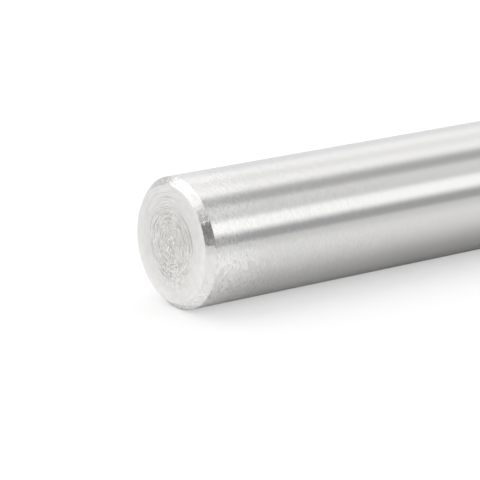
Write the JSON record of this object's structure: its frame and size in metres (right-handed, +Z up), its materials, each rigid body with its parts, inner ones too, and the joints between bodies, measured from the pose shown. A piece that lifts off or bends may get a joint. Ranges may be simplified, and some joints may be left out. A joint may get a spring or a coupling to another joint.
{
  "type": "round steel shaft",
  "caption": "Plain round bar of bright ground steel with faced and chamfered ends, straight stock for a steering shaft.",
  "frame": {"origin": "middle of the bar, on its axis", "axes": "+X along the bar's axis, +Z up as the bar lies level"},
  "size_m": [0.15, 0.01, 0.01],
  "materials": {
    "ground_steel": "ground round surface with fine marks round the bar, faced ends with concentric turning marks"
  },
  "bodies": {
    "root": {"shaft_bar": "ground_steel"}
  },
  "joints": []
}
